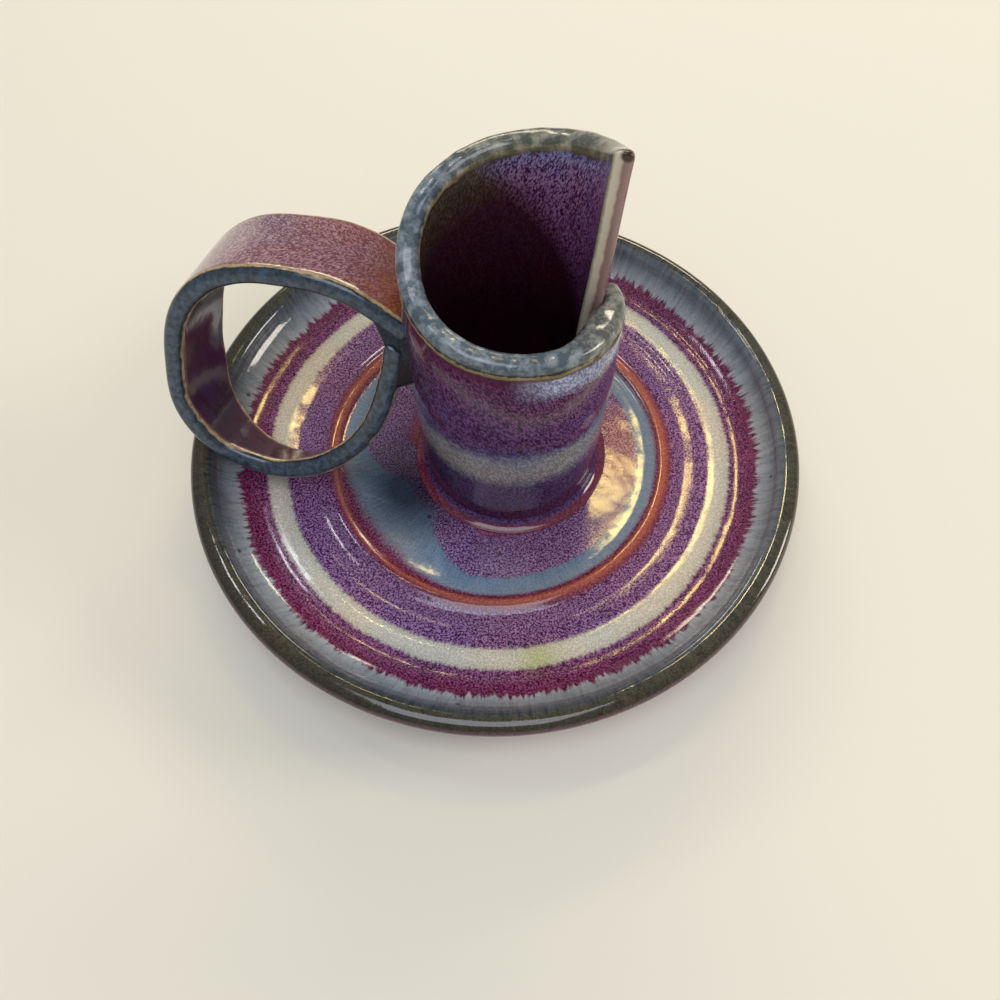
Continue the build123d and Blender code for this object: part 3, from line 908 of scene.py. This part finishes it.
def loop_material():
    """Reactive glaze on the pulled strap: a mauve outer face with crystals, a dark plum inner face where the
    glaze lay thick and smooth, slate edges, and cream where it ran off the corners."""
    material, tree, surface, mm, layout = glaze("reactive_glaze_on_strap", 0.07)
    fine = crystal_mask(tree, drawn_places(tree, layout, 0.45, 0.8), strap_grain)
    cloud = add_node(tree, "TexNoise", {"Vector": mm, "Scale": 0.22, "Detail": 3.0, "Roughness": 0.6})
    wander = add_node(tree, "Math", {0: cloud, 1: 0.5}, operation="SUBTRACT")
    along_place = add_node(tree, "Math", {0: wander, 1: 16.0, 2: layout["X"]}, operation="MULTIPLY_ADD")
    along_share = add_node(tree, "Math", {0: along_place, 1: 1 / loop_length}, operation="MULTIPLY")
    # The paler, bluer stop at 0.36, at the loop's upper outer corner, is a painted reflection.
    outer_face = two_tone(tree, along_share, fine, (
        (0.00, "#7d4028"), (0.05, "#733a30"), (0.10, "#6a3540"), (0.20, "#704555"), (0.27, "#765560"),
        (0.36, "#8a7480"), (0.50, "#5b2b40"),
    ), (
        (0.00, "#a0683c"), (0.05, "#94604c"), (0.10, "#a87c80"), (0.20, "#b2989f"), (0.27, "#bda4aa"),
        (0.36, "#bdaeb6"), (0.50, "#8a5f74"),
    ))
    inner_face = add_node(tree, "ValToRGB", {"Fac": along_share}, stops=(
        (0.25, "#2c141c"), (0.36, "#3b1f2b"), (0.44, "#3a2a44"), (0.50, "#41284f"), (0.56, "#3c2030"),
        (0.64, "#55303a"), (0.74, "#6a4a3c"),
    ))
    pool = add_node(tree, "MapRange", {"Value": cloud, "From Min": 0.52, "From Max": 0.66, "To Max": 0.6})
    inner_pool = add_node(tree, "Mix", {0: pool, 6: inner_face, 7: linear("#241019")}, data_type="RGBA")
    outer_side = add_node(tree, "MapRange", {"Value": layout["Z"], "From Min": -0.3, "From Max": 0.3})
    faces = add_node(tree, "Mix", {0: outer_side, 6: inner_pool, 7: outer_face}, data_type="RGBA")
    tint = tinted(tree, faces, mm, 14.0, "#eeeaf8", "#fff2ee")
    edge = add_node(tree, "Math", {0: wander, 1: 1.4, 2: layout["Y"]}, operation="MULTIPLY_ADD")
    edge_place = add_node(tree, "Math", {0: edge, 1: 0.1}, operation="MULTIPLY")
    mottle = add_node(tree, "TexNoise", {"Vector": mm, "Scale": 0.8, "Detail": 3.0, "Roughness": 0.6})
    mottled = add_node(tree, "MapRange", {"Value": mottle, "From Min": 0.36, "From Max": 0.64})
    border = two_tone(tree, edge_place, mottled, (
        (0.00, "#283440"), (0.045, "#20292f"), (0.065, "#24262a"), (0.080, "#93795a"), (0.125, "#9a7f60"),
        (0.155, "#6a4238"), (0.22, "#5a3038"),
    ), (
        (0.00, "#4a5b6e"), (0.045, "#394650"), (0.065, "#3c3f40"), (0.080, "#c2aa84"), (0.125, "#c9b18d"),
        (0.155, "#8e604e"), (0.22, "#7a5056"),
    ))
    on_border = add_node(tree, "MapRange", {
        "Value": edge, "From Min": 1.3, "From Max": 2.2, "To Min": 1.0, "To Max": 0.0,
    })
    final = add_node(tree, "Mix", {0: on_border, 6: tint, 7: border}, data_type="RGBA")
    glaze_surface(tree, surface, final, mm, fine, 0.45)
    return material


# The table, the lights and the camera

def make_table():
    """Pale table top."""
    bm = bmesh.new()
    bmesh.ops.create_grid(bm, x_segments=1, y_segments=1, size=1.2)
    mesh = bpy.data.meshes.new("table_top")
    bm.to_mesh(mesh)
    bm.free()
    table = bpy.data.objects.new("table_top", mesh)
    bpy.context.scene.collection.objects.link(table)
    material = bpy.data.materials.new("pale_paper")
    material.use_nodes = True
    surface = material.node_tree.nodes["Principled BSDF"]
    surface.inputs["Base Color"].default_value = linear("#ebe7d8")
    surface.inputs["Roughness"].default_value = 0.7
    mesh.materials.append(material)


def add_light(name, place, target, size, watts, colour, height=None):
    """A soft rectangular lamp that faces its target. Places are in metres."""
    lamp = bpy.data.lights.new(name, "AREA")
    lamp.shape = "RECTANGLE"
    lamp.size = size
    lamp.size_y = height or size
    lamp.energy = watts
    lamp.color = linear(colour)[:3]
    holder = bpy.data.objects.new(name, lamp)
    holder.location = place
    holder.rotation_euler = (Vector(target) - Vector(place)).to_track_quat("-Z", "Y").to_euler()
    bpy.context.scene.collection.objects.link(holder)


def light_the_scene():
    """A soft overhead panel, a wide window behind, one on the right, and three small lamps that draw the
    white and the gold highlights."""
    world = bpy.data.worlds.new("soft_room")
    world.use_nodes = True
    background = world.node_tree.nodes["Background"]
    background.inputs["Color"].default_value = linear("#eef0f2")
    background.inputs["Strength"].default_value = 0.36
    bpy.context.scene.world = world
    dish = (0.0, 0.0, 0.01)
    add_light("overhead", (-0.07, -0.41, 1.28), dish, 0.8, 8.0, "#eef3ff")
    add_light("window_behind", (0.0, 1.15, 0.62), dish, 1.2, 7.2, "#fff0d4", 0.13)
    add_light("window_right", (0.93, 0.03, 0.385), dish, 0.28, 3.2, "#fff6e8", 0.28)
    add_light("lamp_left", (-0.40, 0.40, 1.07), dish, 0.10, 0.5, "#ffffff")
    add_light("warm_lamp", (0.112, 0.487, 0.876), dish, 0.09, 0.5, "#ffe084", 0.05)
    add_light("warm_lamp_left", (-0.084, 0.43, 0.909), dish, 0.035, 0.12, "#ffe49a", 0.03)


def add_camera():
    """The photograph's view: from the front, 61 degrees above the table's plane, with a wide lens."""
    camera = bpy.data.cameras.new("photo_view")
    camera.lens = 36.0
    camera.sensor_width = 36.0
    camera.sensor_fit = "HORIZONTAL"
    holder = bpy.data.objects.new("photo_view", camera)
    holder.location = Vector((1.04, -114.92, 197.6)) * MM
    holder.rotation_euler = (radians(28.56), 0, 0)
    bpy.context.scene.collection.objects.link(holder)
    bpy.context.scene.camera = holder


make_saucer(saucer_material())
make_tower(tower_material())
make_foot_coil(fillet_material())
make_finger_loop(loop_material())
make_luting(shadow_luting_material())
make_table()
light_the_scene()
add_camera()
bpy.context.scene.view_settings.view_transform = "Standard"
